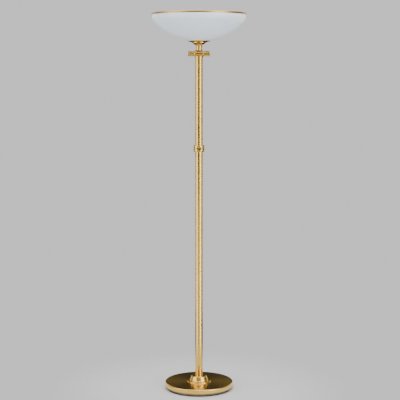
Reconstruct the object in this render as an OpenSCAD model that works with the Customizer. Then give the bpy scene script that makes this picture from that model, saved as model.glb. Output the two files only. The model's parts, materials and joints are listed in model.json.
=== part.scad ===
// Torchiere floor lamp: weighted round base, two-part stem with a dimmer ring,
// tilting knuckle with a cross-bar, and an upward opal glass bowl with a linear lamp.
// The origin is on the floor at the lamp's axis, +Z is up, and -Y is the front.

/* [Overall] */
// Height of the rim above the floor
overall_h = 1785; // [1450:1:2150]
// Height of the dimmer knob's axis
dimmer_z = 1155; // [800:1:1300]

/* [Base] */
// Diameter of the brass base shell
base_d = 325; // [260:1:420]
// Height of the base's top face
base_h = 33; // [30:0.5:44]
// Wall of the base shell
base_wall = 1.6; // [1:0.1:2.4]
// Radius of the shell's top edge
base_edge_r = 4; // [3:0.5:6]
// Radius of the shell's tucked-in lower edge
base_lip_r = 8; // [5:0.5:10]
// Height of the rubber floor ring
floor_ring_h = 5; // [3:0.5:8]
// Width of the rubber floor ring
floor_ring_w = 6.5; // [5:0.5:12]
// Thickness of the bottom plate
plate_t = 1.5; // [1:0.1:3]
// Height of the wiring space under the iron weight
wiring_h = 11.7; // [11.5:0.1:15]
// Width of the iron weight's rim
weight_rim_w = 14; // [11:0.5:24]
// Bore of the grommet for the mains lead
inlet_d = 7.2; // [6:0.1:8.5]
// Diameter of the thin flange under the collar
flange_d = 114; // [98:1:130]
// Thickness of the thin flange
flange_t = 3.5; // [2.5:0.1:6]
// Diameter of the collar at its foot
collar_foot_d = 90; // [80:1:94]
// Diameter of the collar at its top
collar_top_d = 75; // [56:1:78]
// Height of the collar
collar_h = 24; // [16:0.5:40]

/* [Stem] */
// Outside diameter of the stem tubes
stem_d = 36; // [33:0.5:43.5]
// Wall of the stem tubes
stem_wall = 1.5; // [1:0.1:2]

/* [Dimmer] */
// Diameter of the two rings round the dimmer
dimmer_ring_d = 52; // [50:0.5:60]
// Height of the two rings together
dimmer_ring_h = 30; // [28:0.5:44]
// Gap between the two rings
dimmer_ring_gap = 2.6; // [1.5:0.1:4]
// Diameter of the dimmer knob
knob_d = 23; // [21:0.5:27]
// Length of the dimmer knob
knob_l = 11.3; // [10:0.1:18]
// Travel of the knob when it is pressed
knob_travel = 1.2; // [0.6:0.1:1.5]

/* [Tilting joint] */
// Diameter of the knuckle's foot
fork_d = 44; // [43:0.5:48]
// Radius of the knuckle's drum about the pivot
drum_r = 15.2; // [14.6:0.1:18.5]
// Width of the tongue's slot in the drum
slot_w = 14; // [13:0.1:15]
// Diameter of the cross-bar
bar_d = 23; // [20:0.5:24]
// Length of the cross-bar
bar_l = 103; // [86:1:124]
// Length of the fluted clamping knob
clamp_l = 19; // [15:0.5:24]
// Diameter of the pivot bolt
pivot_d = 8; // [7:0.5:8.5]

/* [Holder] */
// Diameter of the neck
neck_d = 27; // [25:0.5:29]
// Length of the neck that shows
neck_l = 9.2; // [6:0.1:30]
// Diameter of the bell
bell_d = 69; // [60:1:76]
// Height of the bell
bell_h = 23; // [19:0.5:36]
// Diameter of the dish under the glass
dish_d = 108; // [96:1:140]

/* [Glass bowl] */
// Outside diameter of the brass rim
rim_d = 440; // [400:1:520]
// Height of the brass rim
rim_h = 8.5; // [7:0.5:14]
// Radius of the bowl's main curve
bowl_r = 285; // [270:1:330]
// Radius of the bowl's turn into its rim
bowl_knuckle_r = 35; // [25:1:45]
// Height of the bowl's upright wall
bowl_wall_h = 13.3; // [12:0.1:30]
// Thickness of the glass
glass_t = 4.5; // [3.5:0.1:5.5]

/* [Lamp] */
// Length of the linear lamp between its contacts
lamp_l = 117.6; // [110:0.1:142]
// Diameter of the lamp's quartz tube
lamp_d = 11; // [8:0.5:12]
// Height of the lamp's axis above the bowl's lowest point
lamp_rise = 66.3; // [62:0.1:72]
// Width of the reflector trough
reflector_w = 76; // [60:1:90]
// Thickness of the safety glass
safety_t = 4.2; // [3:0.1:5]

/* [Hidden] */
$fn = 96;

fit = 0.05;          // clearance between pieces that fit together
seat = 0.2;          // looser clearance between pieces that only sit together
eps = 1;             // how far a cutter runs past the face it cuts
turn_steps = 10;     // segments in a small turned radius
core_r = 1.7;        // radius of an internal lead
wire_r = 1.1;        // radius of a lampholder wire

// Base
base_r = base_d / 2;
plate_z0 = floor_ring_h;
plate_z1 = plate_z0 + plate_t;
lip_angle = 75;
lip_z = plate_z1 + base_lip_r * sin(lip_angle) - 0.3;
lip_r_end = base_r - base_lip_r * (1 - cos(lip_angle)) - base_wall * cos(lip_angle);
weight_r = lip_r_end - 2;
weight_z1 = base_h - base_wall - seat;
weight_z0 = plate_z1 + wiring_h;
weight_t = weight_z1 - weight_z0;
plate_r = weight_r + 0.8;
inlet_wall = 1.4;
inlet_body_r = inlet_d / 2 + inlet_wall;
inlet_z = lip_z + inlet_body_r + 0.5;
channel_y0 = 44;
inlet_flange_t = 1.6;
screw_circle_r = weight_r - weight_rim_w + 4.6;
screw_r = 2;
screw_head_r = 3.6;
screw_l = 9;
nipple_r = 5;
nipple_bore_r = 3.5;
nut_t = 5;
washer_t = 1.5;
washer_r = 13;
base_nipple_z0 = weight_z0 - washer_t - nut_t - 0.6;
flange_z0 = base_h;
flange_z1 = flange_z0 + flange_t;
collar_z1 = flange_z1 + collar_h;
collar_wall = 2;
block_l = 30;
block_w = 18;
block_x = 36;
block_z0 = plate_z1 + 0.8;
block_z1 = weight_z0 - fit;

// Stem
stem_r = stem_d / 2;
bore_r = stem_r - stem_wall;
plug_r = bore_r - fit;
plug_l = 30;

// Dimmer
ring_r = dimmer_ring_d / 2;
ring_half = dimmer_ring_h / 2;
ring_edge_top = 1.2;
ring_edge_foot = 4;
sleeve_l = 72;
sleeve_wall = 2;
bushing_r = 4.5;
shaft_r = 3;
plunger_r = 1.5;
knob_r = knob_d / 2;
spot_y = sqrt(pow(ring_r, 2) - pow(knob_r, 2));
panel_nut_t = 1.8;
knob_back_y = spot_y + knob_travel + 0.4;
knob_front_y = knob_back_y + knob_l;
knob_recess_y = spot_y + panel_nut_t + knob_travel + 0.8;
switch_r = 8;
switch_front_y = 5.5;
switch_rear_y = 9;
shaft_tip_y = 0.5;
flutes = 24;
board_z0 = dimmer_z - 128;
board_z1 = dimmer_z - 48;

// Glass bowl
rim_r = rim_d / 2;
rim_skin = 1;
rim_cap_t = 2.2;
glass_r = rim_r - rim_skin - fit;
glass_top_z = overall_h - rim_cap_t - fit;
turn_z = glass_top_z - bowl_wall_h;
centre_z = turn_z + sqrt(pow(bowl_r - bowl_knuckle_r, 2) - pow(glass_r - bowl_knuckle_r, 2));
bowl_z = centre_z - bowl_r;
turn_angle = asin((glass_r - bowl_knuckle_r) / (bowl_r - bowl_knuckle_r));
glass_hole_r = 12;

// Holder
gasket_t = 1;
dish_t = 1.5;
dish_r = dish_d / 2;
dish_z0 = bowl_z - gasket_t - dish_t;
bell_z1 = dish_z0;
bell_z0 = bell_z1 - bell_h;
bell_r = bell_d / 2;
bell_band_h = 3.7;
bell_lip_h = 2.6;
bell_wall = 1.8;
neck_r = neck_d / 2;
neck_wall = 1.5;
tongue_collar_h = 4.8;
tongue_reach = drum_r + 0.8;
neck_z0 = bell_z0 - neck_l;
pivot_z = neck_z0 - tongue_collar_h - tongue_reach;
head_nipple_r = 6.5;
head_nipple_bore_r = 4.5;

// Tilting joint
pivot_r = pivot_d / 2;
fork_r = fork_d / 2;
fork_foot_h = 5;
fork_z0 = pivot_z - drum_r;
drum_edge_r = 4;
drum_x = fork_r;
spigot_l = 23;
cable_hole_r = 6;
cable_mouth_r = 9;
slot_floor_r = drum_r + 0.6;
friction_t = 0.5;
tongue_half = slot_w / 2 - friction_t - 0.1;
channel_y = 7.4;
channel_r = 2.4;
channel_bend = 8;
channel_top = tongue_reach + 4;
channel_mouth = [1, -drum_r - 1];
channel_elbow = [channel_y, -5];
bar_r = bar_d / 2;
bar_end = bar_l / 2;
clamp_x = bar_end - clamp_l;
spring_t = 1.2;

// Lamp and its carrier
plate_seat_z = centre_z - sqrt(pow(bowl_r - glass_t, 2) - pow(28, 2)) + 1.2;
clamp_plate_t = 2;
clamp_plate_r = 30;
head_nut_t = 5;
lamp_z = bowl_z + lamp_rise;
bracket_z0 = lamp_z - 36;
bracket_t = 1.5;
bracket_w = 25;
bracket_nut_t = 4;
spacer_z0 = plate_seat_z + clamp_plate_t + head_nut_t;
head_nipple_z1 = bracket_z0 + bracket_t + bracket_nut_t + 2.5;
cap_l = 8.8;
pinch_l = 10;
tube_half = lamp_l / 2 - cap_l - pinch_l;
cap_r = 3.6;
holder_x0 = lamp_l / 2 - 2.8;
holder_x1 = holder_x0 + 16;
holder_w = 20;
holder_top_z = lamp_z + 11.2;
holder_z0 = lamp_z - 13;
contact_r = 2;
contact_l = 8.6;
contact_travel = 2.5;
reflector_half = holder_x0 - 3;
reflector_t = 0.8;
reflector_z0 = lamp_z - 20;
reflector_z1 = lamp_z + 7;
reflector_lip = 5;
post_x = 35;
post_r = 3;

// ---- Shared shapes ----

// Points of an arc about a centre, from one angle to another.
function arc(centre, r, from, to, n = turn_steps) =
    [for (i = [0:n]) let (a = from + (to - from) * i / n) centre + r * [cos(a), sin(a)]];

// Height of a sphere's underside about the bowl's centre, at a distance from the axis.
function sphere_z(r, x) = centre_z - sqrt(r * r - x * x);

// A piece turned about the Z axis from its half outline.
module turned(outline) rotate_extrude(convexity = 8) polygon(outline);

// A plain ring about the Z axis.
module ring(outer, inner, z0, z1) difference() {
    translate([0, 0, z0]) cylinder(h = z1 - z0, r = outer);
    translate([0, 0, z0 - eps]) cylinder(h = z1 - z0 + 2 * eps, r = inner);
}

// Lays a child made along +Z so that it runs along +X, through the lamp's axis at height z.
module along_x(z = 0) translate([0, 0, z]) rotate([0, 90, 0]) children();

// Lays a child made along +Z so that it runs along -Y, the front, at height z.
module along_front(z = 0) translate([0, 0, z]) rotate([90, 0, 0]) children();

// A hexagonal nut on the Z axis.
module hex_nut(across, bore, z0, t) difference() {
    translate([0, 0, z0]) cylinder(h = t, r = across / sqrt(3), $fn = 6);
    translate([0, 0, z0 - eps]) cylinder(h = t + 2 * eps, r = bore);
}

// A socket grub screw along +Z from the origin.
module grub_screw(r, l) difference() {
    cylinder(h = l, r = r);
    translate([0, 0, l - r]) cylinder(h = r + eps, r = r * 0.5, $fn = 6);
}

// A pan-head screw whose head sits on z = 0 and whose shank runs down.
module pan_screw(r, head_r, head_h, l) difference() {
    union() {
        turned(concat([[0, 0], [head_r, 0]],
            arc([head_r - head_h * 0.6, head_h * 0.4], head_h * 0.6, 0, 90, 6), [[0, head_h]]));
        translate([0, 0, -l]) cylinder(h = l, r = r);
    }
    translate([0, 0, head_h * 0.4]) for (a = [0, 90]) rotate(a)
        translate([-r * 1.1, -r * 0.2, 0]) cube([r * 2.2, r * 0.4, head_h]);
}

// A round lead swept along a list of points, with a ring of eight corners at each point.
function unit(v) = v / norm(v);
function lead_dir(p, i) = unit(p[min(i + 1, len(p) - 1)] - p[max(i - 1, 0)]);
function lead_side(d) = unit(cross(d, abs(d.x) < 0.9 ? [1, 0, 0] : [0, 1, 0]));
module lead(p, r) {
    sides = 8;
    rings = [for (i = [0:len(p) - 1]) let (d = lead_dir(p, i), u = lead_side(d), w = cross(d, u))
        for (k = [0:sides - 1]) let (a = 360 * k / sides) p[i] + r * (cos(a) * u + sin(a) * w)];
    walls = [for (i = [0:len(p) - 2]) for (k = [0:sides - 1]) let (n = (k + 1) % sides)
        [i * sides + k, (i + 1) * sides + k, (i + 1) * sides + n, i * sides + n]];
    start = [for (k = [0:sides - 1]) k];
    end = [for (k = [sides - 1:-1:0]) (len(p) - 1) * sides + k];
    polyhedron(points = rings, faces = concat(walls, [start, end]), convexity = 10);
}

// ---- Base ----

module floor_ring() color("black") {
    r1 = plate_r;
    r0 = plate_r - floor_ring_w;
    turned(concat([[r1, plate_z0]], arc([r1 - 1, 1], 1, 0, -90, 4), arc([r0 + 1, 1], 1, -90, -180, 4),
        [[r0, plate_z0]]));
}

module bottom_plate() color("dimgray") difference() {
    translate([0, 0, plate_z0]) cylinder(h = plate_t, r = plate_r);
    for (a = [45:90:315]) rotate(a) translate([screw_circle_r, 0, plate_z0 - fit])
        cylinder(h = plate_t + 2 * fit, r1 = screw_head_r + fit, r2 = screw_r + 2 * fit);
}

module bottom_screws() color("silver") for (a = [45:90:315]) rotate(a)
    translate([screw_circle_r, 0, plate_z0]) difference() {
        union() {
            cylinder(h = plate_t, r1 = screw_head_r, r2 = screw_r);
            cylinder(h = screw_l + plate_t, r = screw_r);
        }
        translate([0, 0, -eps]) cylinder(h = eps + 1, r = 1.3, $fn = 6);
    }

module base_weight() color("darkslategray") difference() {
    translate([0, 0, plate_z1]) cylinder(h = weight_z1 - plate_z1, r = weight_r);
    translate([0, 0, plate_z1 - eps])
        cylinder(h = weight_z0 - plate_z1 + eps, r = weight_r - weight_rim_w);
    translate([0, 0, weight_z0 - eps]) cylinder(h = weight_t + 2 * eps, r = nipple_r + seat);
    for (a = [45:90:315]) rotate(a) translate([screw_circle_r, 0, plate_z1 - eps])
        cylinder(h = screw_l + eps + 1, r = screw_r + fit);
    translate([-inlet_body_r, channel_y0, plate_z1 - eps])
        cube([2 * inlet_body_r, weight_r, inlet_z + inlet_body_r - plate_z1]);
}

module base_shell() color("goldenrod") difference() {
    inner_edge = base_edge_r - base_wall;
    edge_centre = [base_r - base_edge_r, base_h - base_edge_r];
    lip_centre = [base_r - base_lip_r, lip_z];
    turned(concat([[nipple_r + seat, base_h]], arc(edge_centre, base_edge_r, 90, 0),
        arc(lip_centre, base_lip_r, 0, -lip_angle), arc(lip_centre, base_lip_r - base_wall, -lip_angle, 0),
        arc(edge_centre, inner_edge, 0, 90), [[nipple_r + seat, base_h - base_wall]]));
    translate([0, base_r + eps, inlet_z]) rotate([90, 0, 0])
        cylinder(h = base_wall + 4 * eps, r = inlet_body_r + fit);
}

module inlet_grommet() color("black") {
    inner_lip = 1;
    inside_y = sqrt(pow(base_r - base_wall, 2) - pow(inlet_body_r + inner_lip, 2)) - 0.2;
    translate([0, 0, inlet_z]) rotate([-90, 0, 0]) turned([[inlet_d / 2, inside_y - 3],
        [inlet_body_r + inner_lip, inside_y - 3], [inlet_body_r + inner_lip, inside_y],
        [inlet_body_r, inside_y], [inlet_body_r, base_r + fit], [inlet_body_r + 2, base_r + fit],
        [inlet_body_r + 2, base_r + inlet_flange_t - 0.5],
        [inlet_body_r + 1.2, base_r + inlet_flange_t], [inlet_d / 2, base_r + inlet_flange_t]]);
}

module terminal_block() color("white") difference() {
    translate([block_x, -block_w / 2, block_z0]) cube([block_l, block_w, block_z1 - block_z0]);
    for (k = [-1:1]) {
        translate([block_x - eps, k * 5.6, (block_z0 + block_z1) / 2]) rotate([0, 90, 0])
            cylinder(h = block_l + 2 * eps, r = 1.6);
        for (x = [7, block_l - 7]) translate([block_x + x, k * 5.6, block_z0 - eps])
            cylinder(h = 4 + eps, r = 1.6);
    }
}

module terminal_screws() color("gold") for (k = [-1:1]) for (x = [7, block_l - 7])
    translate([block_x + x, k * 5.6, block_z0 + 0.6]) difference() {
        cylinder(h = 2.6, r = 1.5);
        translate([-2, -0.25, -eps]) cube([4, 0.5, eps + 0.6]);
    }

module base_washer() color("silver") ring(washer_r, nipple_r + seat, weight_z0 - washer_t, weight_z0);

module base_nut() color("gold") hex_nut(17, nipple_r + fit, weight_z0 - washer_t - nut_t, nut_t);

module base_nipple() color("gold") ring(nipple_r, nipple_bore_r, base_nipple_z0, flange_z1 + plug_l - 2);

module base_flange() color("goldenrod") {
    r = flange_d / 2;
    edge = min(1.6, flange_t / 2);
    turned(concat([[nipple_r + seat, flange_z0], [r - 0.6, flange_z0], [r, flange_z0 + 0.6]],
        arc([r - edge, flange_z1 - edge], edge, 0, 90, 6), [[nipple_r + seat, flange_z1]]));
}

// A hollow cone with a rounded shoulder and a bead at its foot.
module base_collar() color("goldenrod") {
    foot_r = collar_foot_d / 2;
    top_r = collar_top_d / 2;
    edge = 2.4;
    bead = 2.5;
    turned(concat([[foot_r - collar_wall - bead, flange_z1], [foot_r - 1, flange_z1]],
        arc([foot_r - bead, flange_z1 + bead], bead, -50, 90, 8),
        arc([top_r - edge, collar_z1 - edge], edge, 8, 90, 8),
        [[stem_r + 2 * fit, collar_z1], [stem_r + 2 * fit, collar_z1 - collar_wall - 1],
        [top_r - edge - collar_wall, collar_z1 - collar_wall - 1],
        [foot_r - collar_wall - bead, flange_z1 + 2 * bead]]));
}

// ---- Stem ----

module foot_plug() color("gold") ring(plug_r, nipple_r + fit, flange_z1, flange_z1 + plug_l);

// Three grub screws at the back fix the lower tube, the upper tube and the knuckle's spigot.
grub_r = 2;
lower_grub_z = [dimmer_z - sleeve_l / 2 + 8];
upper_grub_z = [dimmer_z + sleeve_l / 2 - 8, fork_z0 - spigot_l / 2];
module grub_holes(heights) for (z = heights) translate([0, 0, z]) rotate([-90, 0, 0])
    cylinder(h = stem_r + eps, r = grub_r + fit);
module tube_grub_screws() color("dimgray") for (z = concat(lower_grub_z, upper_grub_z))
    translate([0, plug_r + fit, z]) rotate([-90, 0, 0]) ring(grub_r, 0.9, 0, stem_wall);

// Clears the dimmer's bushing where it passes through a front wall.
module bushing_hole() along_front(dimmer_z) translate([0, 0, 8]) cylinder(h = 30, r = bushing_r + 2 * fit);

module lower_tube() color("goldenrod") difference() {
    ring(stem_r, bore_r, flange_z1, dimmer_z - dimmer_ring_gap / 2);
    bushing_hole();
    grub_holes(lower_grub_z);
}

module upper_tube() color("goldenrod") difference() {
    ring(stem_r, bore_r, dimmer_z + dimmer_ring_gap / 2, fork_z0);
    bushing_hole();
    grub_holes(upper_grub_z);
}

module coupling_sleeve() color("dimgray") difference() {
    ring(plug_r, plug_r - sleeve_wall, dimmer_z - sleeve_l / 2, dimmer_z + sleeve_l / 2);
    bushing_hole();
}

// Cuts the flat seat for the knob and the bushing's hole into the rings' front.
module knob_seat() {
    along_front(dimmer_z) translate([0, 0, spot_y]) cylinder(h = 20, r = knob_r + 0.8);
    bushing_hole();
}

module dimmer_ring_lower() color("goldenrod") difference() {
    z0 = dimmer_z - ring_half;
    z1 = dimmer_z - dimmer_ring_gap / 2;
    turned(concat([[stem_r + fit, z1], [stem_r + fit, z0]],
        arc([ring_r - ring_edge_foot, z0 + ring_edge_foot], ring_edge_foot, -90, 0),
        [[ring_r, z1 - 0.4], [ring_r - 0.4, z1]]));
    knob_seat();
}

module dimmer_ring_upper() color("goldenrod") difference() {
    z0 = dimmer_z + dimmer_ring_gap / 2;
    z1 = dimmer_z + ring_half;
    turned(concat([[stem_r + fit, z1], [stem_r + fit, z0], [ring_r - 0.4, z0], [ring_r, z0 + 0.4]],
        arc([ring_r - ring_edge_top, z1 - ring_edge_top], ring_edge_top, 0, 90, 5)));
    knob_seat();
}

// Rotary dimmer with a push switch behind it: a body, a threaded bushing and three tags.
module dimmer_switch() color("darkgreen") difference() {
    union() {
        along_front(dimmer_z) translate([0, 0, -switch_rear_y])
            cylinder(h = switch_rear_y + switch_front_y, r = switch_r);
        along_front(dimmer_z) cylinder(h = spot_y + panel_nut_t + 0.4, r = bushing_r);
        for (x = [-4, 0, 4]) translate([x - 0.6, switch_rear_y - 2.4, dimmer_z - switch_r - 4])
            cube([1.2, 0.6, 6]);
    }
    along_front(dimmer_z) translate([0, 0, -shaft_tip_y - fit - knob_travel])
        cylinder(h = knob_front_y + 9, r = shaft_r + fit);
    along_front(dimmer_z) translate([0, 0, -7.4]) cylinder(h = 8, r = plunger_r + fit);
}

module dimmer_panel_nut() color("silver") along_front(dimmer_z)
    hex_nut(12, bushing_r + fit, spot_y + fit, panel_nut_t - fit);

module switch_plunger() color("white") along_front(dimmer_z)
    translate([0, 0, -5.6]) cylinder(h = 5.6 - shaft_tip_y - fit, r = plunger_r);

module dimmer_shaft() color("silver") along_front(dimmer_z)
    translate([0, 0, -shaft_tip_y]) cylinder(h = knob_front_y - 4 + shaft_tip_y, r = shaft_r);

// A turned knob with a fluted edge, a dished face, a pointer dot and a hollow back.
module dimmer_knob() color("goldenrod") along_front(dimmer_z) difference() {
    face_edge = 1;
    turned(concat([[shaft_r + fit, knob_back_y], [knob_r - 0.5, knob_back_y], [knob_r, knob_back_y + 0.5]],
        arc([knob_r - face_edge, knob_front_y - face_edge], face_edge, 0, 90, 5),
        arc([0, knob_front_y + 41.3], 42, -78.5, -90, 6), [[0, knob_front_y - 3.5],
        [shaft_r + fit, knob_front_y - 3.5]]));
    translate([0, 0, knob_back_y - eps])
        cylinder(h = knob_recess_y - knob_back_y + eps, r = 7.6);
    for (k = [0:flutes - 1]) rotate(360 * (k + 0.5) / flutes)
        translate([knob_r + 0.35, 0, knob_back_y + 2]) cylinder(h = knob_l - 4, r = 0.8);
    translate([0, knob_r - 3.4, knob_front_y - 1.2]) cylinder(h = 3, r = 0.8);
    rotate(90) translate([shaft_r - eps, 0, knob_front_y - 5.2]) rotate([0, 90, 0])
        cylinder(h = knob_r, r = 1.25 + fit);
}

module knob_grub_screw() color("dimgray") along_front(dimmer_z) rotate(90)
    translate([shaft_r + fit, 0, knob_front_y - 5.2]) rotate([0, 90, 0]) grub_screw(1.25, 5);

// The dimmer's circuit board with its choke, capacitor, connector and cooling plate.
module dimmer_board() color("darkgreen") {
    half_w = bore_r - 3.5;
    translate([-half_w, -0.8, board_z0]) cube([2 * half_w, 1.6, board_z1 - board_z0]);
    translate([0, 0.8 + fit, board_z0 + 20]) rotate([-90, 0, 0]) ring(8, 3, 0, 7);
    translate([-6, 0.8 + fit, board_z0 + 36]) cube([12, 8, 14]);
    translate([-7, 0.8 + fit, board_z0 + 58]) cube([14, 7, 8]);
    translate([-5, -5.3, board_z0 + 24]) cube([10, 4.4, 16]);
    translate([-8, -7, board_z0 + 46]) cube([16, 6.1, 1.5]);
}

block_mid_z = (block_z0 + block_z1) / 2;
lead_low_z = base_nipple_z0 - 2.6;
stem_lead_low_path = [[block_x - fit, 0, block_mid_z], [block_x - 4, 0, block_mid_z],
    [block_x - 10, 0, block_mid_z - 1], [block_x - 18, 0, lead_low_z + 0.4], [12, 0, lead_low_z],
    [6, 0, lead_low_z], [2.6, 0, lead_low_z + 0.4], [0.8, 0, lead_low_z + 2.1], [0, 0, lead_low_z + 5],
    [0, 0, lead_low_z + 10], [0, 0, flange_z1 + plug_l],
    [0, 0, flange_z1 + plug_l + 200], [2, 0, (flange_z1 + board_z0) / 2], [0, 0, board_z0 - 200],
    [0, 0, board_z0 - 20], [0, 0, board_z0 - fit]];
module stem_lead_lower() color("white") lead(stem_lead_low_path, core_r);

pass_x = (switch_r + plug_r - sleeve_wall) / 2;
stem_lead_up_path = [[0, 0, board_z1 + fit], [0, 0, board_z1 + 3], [1.5, 0, board_z1 + 9],
    [pass_x - 2, 0, dimmer_z - 24],
    [pass_x, 0, dimmer_z - 12], [pass_x, 0, dimmer_z + 12], [pass_x - 2, 0, dimmer_z + 26],
    [2, 0, dimmer_z + 60], [0, 0, dimmer_z + 120], [-1.5, 0, (dimmer_z + fork_z0) / 2],
    [0, 0, fork_z0 - 120], [0, 0, fork_z0 - 40], [0, 0.6, fork_z0 - 22], [0, 1.6, fork_z0 - 10],
    [0, 2, fork_z0 - 4], [0, 2, fork_z0 - 1.4]];
module stem_lead_upper() color("white") lead(stem_lead_up_path, core_r);

// ---- Tilting joint ----

// A drum about the pivot axis with rounded ends.
module drum(r, half, edge) along_x(pivot_z) turned(concat([[0, -half]],
    arc([r - edge, -half + edge], edge, -90, 0, 6), arc([r - edge, half - edge], edge, 0, 90, 6),
    [[0, half]]));

// The fork on the stem: a spigot, a round foot and a drum with a slot across its middle.
module joint_fork() color("goldenrod") difference() {
    union() {
        translate([0, 0, fork_z0 - spigot_l]) cylinder(h = spigot_l, r = plug_r);
        turned(concat([[0, fork_z0], [fork_r - 0.8, fork_z0], [fork_r, fork_z0 + 0.8]],
            arc([fork_r - 1.5, fork_z0 + fork_foot_h - 1.5], 1.5, 0, 90, 5), [[0, fork_z0 + fork_foot_h]]));
        drum(drum_r, drum_x, drum_edge_r);
    }
    along_x(pivot_z) translate([0, 0, -slot_w / 2]) cylinder(h = slot_w, r = slot_floor_r);
    translate([0, 0, fork_z0 - spigot_l - eps]) cylinder(h = spigot_l + eps, r = cable_hole_r);
    translate([0, 0, fork_z0 - 7]) cylinder(h = 8, r1 = cable_hole_r, r2 = cable_mouth_r);
    along_x(pivot_z) translate([0, 0, -drum_x - eps])
        cylinder(h = 2 * drum_x + 2 * eps, r = pivot_r + fit);
}

module friction_washers() color("dimgray") for (s = [0, 180]) rotate(s) along_x(pivot_z)
    ring(drum_r - 1, pivot_r + fit, tongue_half + fit, slot_w / 2 - 0.02);

module pivot_bolt() color("silver") along_x(pivot_z) translate([0, 0, -bar_end + 7])
    cylinder(h = 2 * bar_end - 12.5, r = pivot_r);

// A round bar along X from x0 to x1 with a rounded outer end and a bore for the bolt.
module bar_piece(x0, x1, bore_x1, edge) along_x(pivot_z) difference() {
    turned(concat([[0, x0], [bar_r - 0.4, x0], [bar_r, x0 + 0.4]],
        arc([bar_r - edge, x1 - edge], edge, 0, 90, 5), [[0, x1]]));
    translate([0, 0, x0 - eps]) cylinder(h = bore_x1 - x0 + eps, r = pivot_r + fit);
}

module bar_cap() color("goldenrod") bar_piece(drum_x, bar_end, bar_end - 5, 1.5);

module bar_sleeve() color("goldenrod") mirror([1, 0, 0])
    bar_piece(drum_x, clamp_x - 0.8, clamp_x + eps, 0.4);

module disc_spring() color("silver") mirror([1, 0, 0]) along_x(pivot_z)
    ring(7.2, pivot_r + fit, clamp_x - 0.8 + fit, clamp_x - 0.8 + spring_t);

// The fluted clamping knob, hollow at its inner face for the disc spring.
module clamp_knob() color("goldenrod") mirror([1, 0, 0]) difference() {
    bar_piece(clamp_x, bar_end, bar_end - 6, 1.5);
    along_x(pivot_z) {
        translate([0, 0, clamp_x - eps]) cylinder(h = eps + spring_t - 0.6, r = 7.6);
        for (k = [0:flutes - 1]) rotate(360 * k / flutes) translate([bar_r + 0.35, 0, clamp_x + 2.5])
            cylinder(h = clamp_l - 5, r = 1);
    }
}

// The tongue in the fork: an eye that fills the drum's slot, a web, a collar, and a spigot
// for the neck and the nipple. The lead's channel bends round the pivot bolt.
module joint_tongue() color("goldenrod") difference() {
    union() {
        drum(drum_r, tongue_half, 0.4);
        translate([-tongue_half, -drum_r + 3, pivot_z])
            cube([2 * tongue_half, 2 * drum_r - 6, tongue_reach + 1]);
        translate([0, 0, pivot_z + tongue_reach]) cylinder(h = tongue_collar_h, r = neck_r + 1);
        translate([0, 0, neck_z0 - eps]) cylinder(h = 10 + eps, r = neck_r - neck_wall - fit);
    }
    along_x(pivot_z) translate([0, 0, -slot_w]) cylinder(h = 2 * slot_w, r = pivot_r + fit);
    translate([0, 0, neck_z0 - 1]) cylinder(h = 12, r = head_nipple_r + fit);
    channel_part(channel_mouth, channel_elbow);
    channel_part(channel_elbow, [channel_y, channel_bend]);
    channel_part([channel_y, channel_bend], [0, channel_top]);
}

// One straight run of the lead's channel between two points beside the pivot.
module channel_part(from, to) {
    run = to - from;
    translate([0, from.x, pivot_z + from.y]) rotate([-atan2(run.x, run.y), 0, 0])
        translate([0, 0, -0.8]) cylinder(h = norm(run) + 1.6, r = channel_r);
}

module neck_tube() color("goldenrod")
    ring(neck_r, neck_r - neck_wall, neck_z0 + fit, bell_z1 - 2 - fit);

module head_nipple() color("gold") ring(head_nipple_r, head_nipple_bore_r, neck_z0, head_nipple_z1);

// ---- Holder under the glass ----

// The bell's outside radius at a height above its foot lip.
flare_h = bell_h - bell_band_h - bell_lip_h;
function flare(u) = neck_r + 2.1 + (bell_r - neck_r - 5.4) * pow(u / flare_h, 2);

module bell() color("goldenrod") {
    lip_r = neck_r + 2.1;
    z0 = bell_z0 + bell_lip_h;
    steps = 14;
    outside = [for (i = [0:steps]) let (u = flare_h * i / steps) [flare(u), z0 + u]];
    inside = [for (i = [steps:-1:4]) let (u = flare_h * i / steps)
        [max(neck_r + fit + 0.6, flare(u) - bell_wall * 1.3), z0 + u + 0.4]];
    turned(concat([[neck_r + fit, bell_z0], [lip_r - 0.5, bell_z0], [lip_r, bell_z0 + 0.5]], outside,
        arc([bell_r - 1, bell_z1 - bell_band_h + 1], 1, -90, 0, 4),
        arc([bell_r - 1, bell_z1 - 1], 1, 0, 90, 4),
        [[head_nipple_r + fit, bell_z1], [head_nipple_r + fit, bell_z1 - 2],
        [flare(flare_h) - 3, bell_z1 - 2]], inside, [[neck_r + fit, z0 + flare_h * 4 / steps]]));
}

module glass_dish() color("goldenrod") {
    seat_r = bowl_r + gasket_t;
    edge_r = dish_r - 0.8;
    edge_z = sphere_z(seat_r, edge_r) - 0.8;
    steps = 12;
    turned(concat([[head_nipple_r + fit, dish_z0 + fit], [bell_r + 1, dish_z0 + fit]],
        [[edge_r, edge_z - 0.8]], arc([edge_r, edge_z], 0.8, -90, 90, 6),
        [for (i = [0:steps]) let (r = edge_r - 0.4 + (head_nipple_r + fit - edge_r + 0.4) * i / steps)
            [r, sphere_z(seat_r, r)]]));
}

// A thin ring between two spheres about the bowl's centre.
module shell_ring(outer_r, inner_r, r0, r1) {
    steps = 10;
    turned(concat([for (i = [0:steps]) let (r = r0 + (r1 - r0) * i / steps) [r, sphere_z(outer_r, r)]],
        [for (i = [steps:-1:0]) let (r = r0 + (r1 - r0) * i / steps) [r, sphere_z(inner_r, r)]]));
}

module lower_gasket() color("ivory")
    shell_ring(bowl_r + gasket_t - fit, bowl_r + fit, glass_hole_r + 8, dish_r - 4);

module glass_bush() color("ivory") ring(glass_hole_r - seat, head_nipple_r + fit,
    sphere_z(bowl_r + gasket_t, glass_hole_r) + fit, plate_seat_z - fit);

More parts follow.
